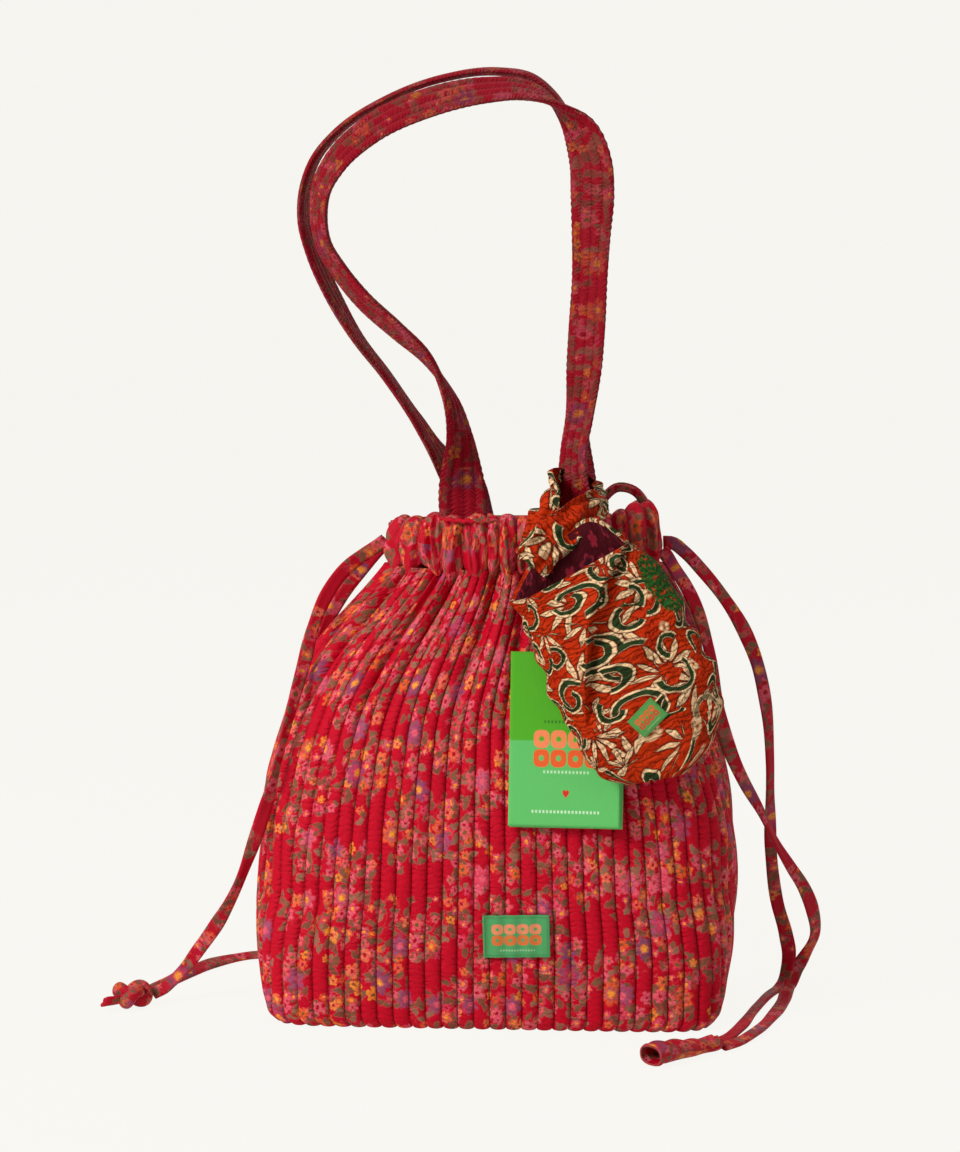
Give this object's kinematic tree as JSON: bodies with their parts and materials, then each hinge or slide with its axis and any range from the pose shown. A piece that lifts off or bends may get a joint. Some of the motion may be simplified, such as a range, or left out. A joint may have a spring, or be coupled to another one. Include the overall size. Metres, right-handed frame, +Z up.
{
  "type": "kinchaku drawstring pouch",
  "caption": "Quilted cotton drawstring pouch with a gathered casing, two arched cloth handles, tied drawstring tails, a card tag and a small matching pouch hung on one handle.",
  "frame": {"origin": "centre of the flat base, on the surface that the pouch stands on", "axes": "+Z up towards the handles, -Y out of the front with the label and the card tag, +X to the right as the front is seen"},
  "size_m": [0.4292, 0.2463, 0.5602],
  "materials": {
    "quilted_print": "quilted printed cotton, matt, crimson ground with small flowers and leaves",
    "casing_print": "plain printed cotton, gathered, soft sheen",
    "strap_print": "quilted printed cotton band with lengthwise stitching",
    "cord_print": "printed cotton tube, pressed flat",
    "woven_label": "woven label, matt",
    "tag_card": "printed card, matt",
    "charm_print": "block printed cotton, crinkled by hand quilting",
    "charm_lining": "dark printed cotton lining"
  },
  "bodies": {
    "root": {"quilted_body": "quilted_print", "casing_front": "casing_print", "casing_back": "casing_print", "strap_front": "strap_print", "strap_back": "strap_print", "drawstring_left_ring": "cord_print", "drawstring_left_tail_front": "cord_print", "drawstring_left_tail_back": "cord_print", "drawstring_left_knot": "cord_print", "drawstring_right_ring": "cord_print", "drawstring_right_tail_front": "cord_print", "drawstring_right_tail_back": "cord_print", "drawstring_right_end_tube": "cord_print", "woven_label": "woven_label", "hang_tag": "tag_card", "charm_body": "charm_print", "charm_loop": "charm_print", "charm_lining": "charm_lining", "charm_label": "woven_label"}
  },
  "joints": []
}
